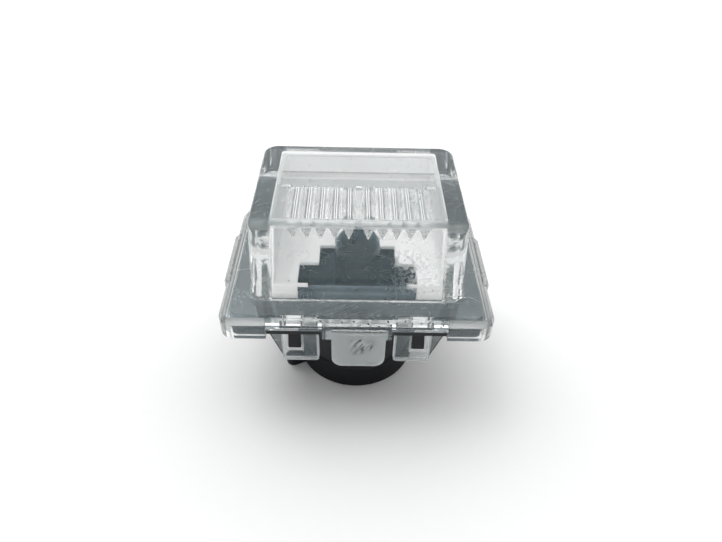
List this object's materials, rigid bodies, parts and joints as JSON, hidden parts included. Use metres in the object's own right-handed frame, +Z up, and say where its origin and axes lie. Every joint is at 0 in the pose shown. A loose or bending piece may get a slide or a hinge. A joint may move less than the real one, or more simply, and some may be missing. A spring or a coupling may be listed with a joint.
{
  "type": "number plate lamp",
  "caption": "Car number plate lamp: clear ribbed box lens on a flange tray with latch ears, white stepped reflector, wedge-base bulb in a black twist-lock holder.",
  "frame": {"origin": "bottom centre of the lamp's box, on the plane the bulb holder stands on", "axes": "+Z up through the lens, +X along the lens's long side, -Y towards the side with the latch ears and the tab"},
  "size_m": [0.058, 0.04, 0.0433],
  "materials": {
    "clear_lens": "clear moulded, lightly scratched",
    "seal_rubber": "matt",
    "black_housing": "fine moulded grain",
    "black_holder": "fine moulded grain",
    "contact_metal": "stamped",
    "bulb_glass": "clear",
    "lead_wire": "drawn wire",
    "filament_wire": "coiled wire",
    "white_reflector": "satin white"
  },
  "bodies": {
    "root": {"lens": "clear_lens", "lens_seal": "seal_rubber", "housing": "black_housing", "holder_seal": "seal_rubber", "bulb_holder": "black_holder", "contact_left": "contact_metal", "contact_right": "contact_metal", "bulb_glass": "bulb_glass", "lead_left": "lead_wire", "lead_right": "lead_wire", "filament": "filament_wire", "reflector": "white_reflector"}
  },
  "joints": []
}
